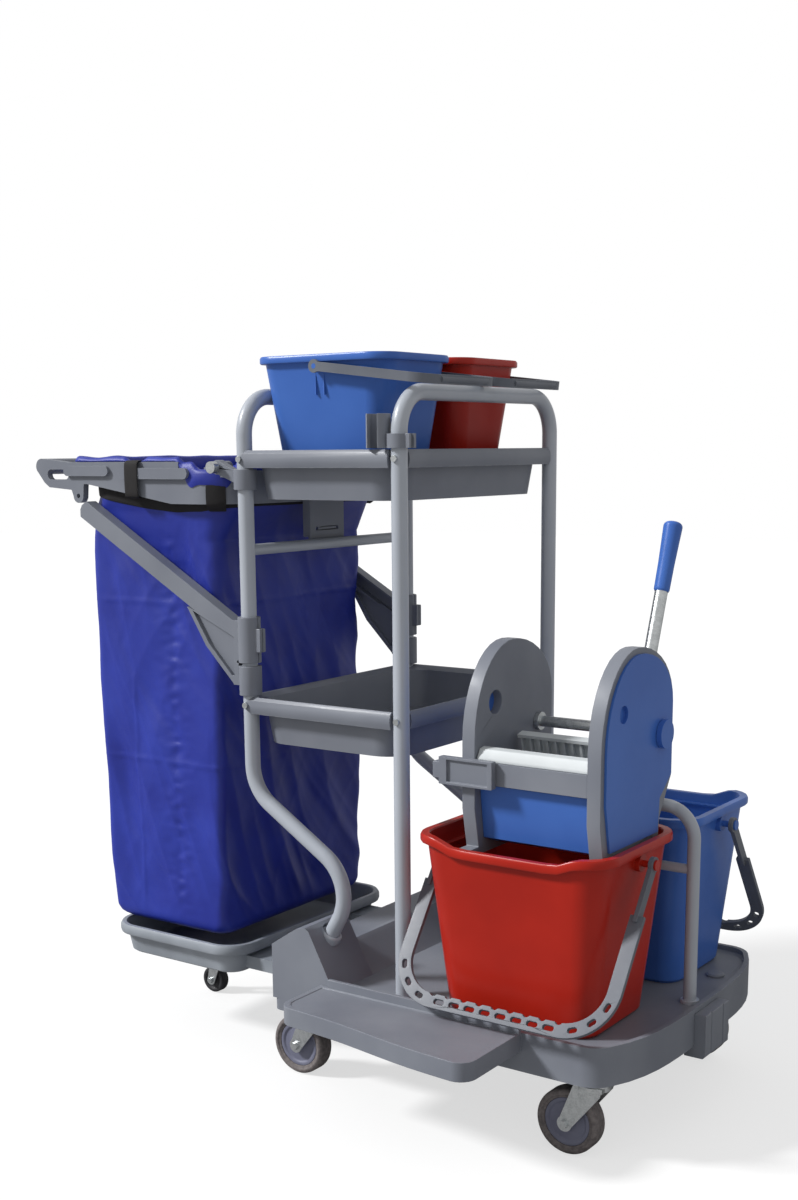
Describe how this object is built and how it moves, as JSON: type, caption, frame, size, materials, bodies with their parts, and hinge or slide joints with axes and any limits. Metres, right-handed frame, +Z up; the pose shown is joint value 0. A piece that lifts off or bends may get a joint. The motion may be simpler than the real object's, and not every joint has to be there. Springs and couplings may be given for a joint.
{
  "type": "janitor cart",
  "caption": "Janitor cart with tube frame, trays, bag ring with cloth bag, mop buckets and a lever wringer on swivel casters",
  "frame": {"origin": "On the floor, at the middle of the cart's footprint box", "axes": "+X runs along the cart from the bag handle to the end bumper, +Y across it to the side away from the step tray, +Z up"},
  "size_m": [1.202, 0.7246, 1.163],
  "materials": {
    "grey_plastic": "satin",
    "tube_paint": "satin",
    "blue_plastic": "gloss",
    "red_plastic": "gloss",
    "bag_cloth": "matte",
    "black_webbing": "matte",
    "white_plastic": "matte",
    "zinc_steel": "satin",
    "grey_tyre": "matte",
    "hub_plastic": "satin",
    "black_wheel": "matte"
  },
  "bodies": {
    "chassis": {"base_platform": "grey_plastic", "step_tray": "grey_plastic", "end_bumper": "grey_plastic", "base_plug": "grey_plastic", "bag_platform": "grey_plastic", "front_hoop": "tube_paint", "rear_hoop": "tube_paint", "frame_crossbar": "tube_paint", "tube_collars": "tube_paint", "top_tray": "grey_plastic", "middle_tray": "grey_plastic", "frame_screws": "zinc_steel", "handle_clip": "grey_plastic", "bag_arms": "grey_plastic", "arm_clamps": "grey_plastic", "divider_hoop": "tube_paint", "hinge_brackets": "grey_plastic", "hinge_pins": "zinc_steel", "caster_plates": "zinc_steel"},
    "bag_frame": {"bag_ring": "grey_plastic", "back_stop": "grey_plastic", "retaining_rails": "grey_plastic", "bag": "bag_cloth", "bag_webbing": "black_webbing", "bag_cuff": "bag_cloth"},
    "red_mop_bucket": {"red_bucket": "red_plastic"},
    "red_mop_bail": {"red_bail": "grey_plastic"},
    "blue_mop_bucket": {"blue_bucket": "blue_plastic"},
    "blue_mop_bail": {"blue_bail": "grey_plastic"},
    "top_blue_bucket": {"small_blue_bucket": "blue_plastic"},
    "top_blue_bail": {"small_blue_bail": "grey_plastic"},
    "top_red_bucket": {"small_red_bucket": "red_plastic"},
    "top_red_bail": {"small_red_bail": "grey_plastic"},
    "wringer": {"left_side_plate": "grey_plastic", "right_side_plate": "grey_plastic", "wringer_covers": "blue_plastic", "front_bar": "grey_plastic", "bar_clip": "grey_plastic", "basket": "blue_plastic", "front_jaw": "white_plastic"},
    "lever": {"wringer_shaft": "zinc_steel", "lever_tube": "zinc_steel", "lever_grip": "blue_plastic"},
    "press": {"press_jaw": "white_plastic"},
    "near_front_caster": {"near_front_fork": "zinc_steel"},
    "near_front_wheel": {"near_front_tyre": "grey_tyre", "near_front_hub": "hub_plastic"},
    "far_front_caster": {"far_front_fork": "zinc_steel"},
    "far_front_wheel": {"far_front_tyre": "grey_tyre", "far_front_hub": "hub_plastic"},
    "near_rear_caster": {"near_rear_fork": "zinc_steel"},
    "near_rear_wheel": {"near_rear_tyre": "grey_tyre", "near_rear_hub": "hub_plastic"},
    "far_rear_caster": {"far_rear_fork": "zinc_steel"},
    "far_rear_wheel": {"far_rear_tyre": "grey_tyre", "far_rear_hub": "hub_plastic"},
    "bag_caster": {"bag_caster_fork": "zinc_steel"},
    "bag_caster_roller": {"bag_caster_wheel": "black_wheel"}
  },
  "joints": [
    {"name": "bag_frame_tilt", "type": "hinge", "parent": "chassis", "child": "bag_frame", "pos_m": [-0.179, 0.05766, 0.994], "axis": [0, 1, 0], "range_deg": [0, 60]},
    {"name": "red_bucket_lift", "type": "slide", "parent": "chassis", "child": "red_mop_bucket", "axis": [0, 0, 1], "range_m": [0, 0.3]},
    {"name": "blue_bucket_lift", "type": "slide", "parent": "chassis", "child": "blue_mop_bucket", "axis": [0, 0, 1], "range_m": [0, 0.3]},
    {"name": "top_blue_bucket_lift", "type": "slide", "parent": "chassis", "child": "top_blue_bucket", "axis": [0, 0, 1], "range_m": [0, 0.25]},
    {"name": "top_red_bucket_lift", "type": "slide", "parent": "chassis", "child": "top_red_bucket", "axis": [0, 0, 1], "range_m": [0, 0.25]},
    {"name": "wringer_lift", "type": "slide", "parent": "red_mop_bucket", "child": "wringer", "axis": [0, 0, 1], "range_m": [0, 0.25]},
    {"name": "red_bail_swing", "type": "hinge", "parent": "red_mop_bucket", "child": "red_mop_bail", "pos_m": [0.3795, -0.08584, 0.43], "axis": [-1, 0, 0], "range_deg": [0, 105]},
    {"name": "blue_bail_swing", "type": "hinge", "parent": "blue_mop_bucket", "child": "blue_mop_bail", "pos_m": [0.3795, 0.20116, 0.43], "axis": [1, 0, 0], "range_deg": [0, 145]},
    {"name": "top_blue_bail_swing", "type": "hinge", "parent": "top_blue_bucket", "child": "top_blue_bail", "pos_m": [0.004, -0.04734, 1.145], "axis": [0, -1, 0], "range_deg": [0, 160]},
    {"name": "top_red_bail_swing", "type": "hinge", "parent": "top_red_bucket", "child": "top_red_bail", "pos_m": [0.004, 0.16266, 1.145], "axis": [0, -1, 0], "range_deg": [0, 160]},
    {"name": "lever_swing", "type": "hinge", "parent": "wringer", "child": "lever", "pos_m": [0.407, -0.00234, 0.606], "axis": [1, 0, 0], "range_deg": [0, 72]},
    {"name": "press_swing", "type": "hinge", "parent": "wringer", "child": "press", "pos_m": [0.407, -0.02434, 0.4623], "axis": [1, 0, 0], "range_deg": [0, 18]},
    {"name": "near_front_swivel", "type": "hinge", "parent": "chassis", "child": "near_front_caster", "pos_m": [0.51, -0.16834, 0.11], "axis": [0, 0, 1], "continuous": true},
    {"name": "near_front_roll", "type": "hinge", "parent": "near_front_caster", "child": "near_front_wheel", "pos_m": [0.472, -0.16834, 0.05], "axis": [0, 1, 0], "continuous": true},
    {"name": "far_front_swivel", "type": "hinge", "parent": "chassis", "child": "far_front_caster", "pos_m": [0.51, 0.28366, 0.11], "axis": [0, 0, 1], "continuous": true},
    {"name": "far_front_roll", "type": "hinge", "parent": "far_front_caster", "child": "far_front_wheel", "pos_m": [0.472, 0.28366, 0.05], "axis": [0, 1, 0], "continuous": true},
    {"name": "near_rear_swivel", "type": "hinge", "parent": "chassis", "child": "near_rear_caster", "pos_m": [-0.005, -0.15234, 0.11], "axis": [0, 0, 1], "continuous": true},
    {"name": "near_rear_roll", "type": "hinge", "parent": "near_rear_caster", "child": "near_rear_wheel", "pos_m": [-0.043, -0.15234, 0.05], "axis": [0, 1, 0], "continuous": true},
    {"name": "far_rear_swivel", "type": "hinge", "parent": "chassis", "child": "far_rear_caster", "pos_m": [-0.005, 0.26766, 0.11], "axis": [0, 0, 1], "continuous": true},
    {"name": "far_rear_roll", "type": "hinge", "parent": "far_rear_caster", "child": "far_rear_wheel", "pos_m": [-0.043, 0.26766, 0.05], "axis": [0, 1, 0], "continuous": true},
    {"name": "bag_caster_swivel", "type": "hinge", "parent": "chassis", "child": "bag_caster", "pos_m": [-0.404, 0.05766, 0.07], "axis": [0, 0, 1], "continuous": true},
    {"name": "bag_caster_roll", "type": "hinge", "parent": "bag_caster", "child": "bag_caster_roller", "pos_m": [-0.424, 0.05766, 0.025], "axis": [0, 1, 0], "continuous": true}
  ],
  "couplings": [
    {"joint": "press_swing", "follows": "lever_swing", "ratio": 0.25}
  ]
}
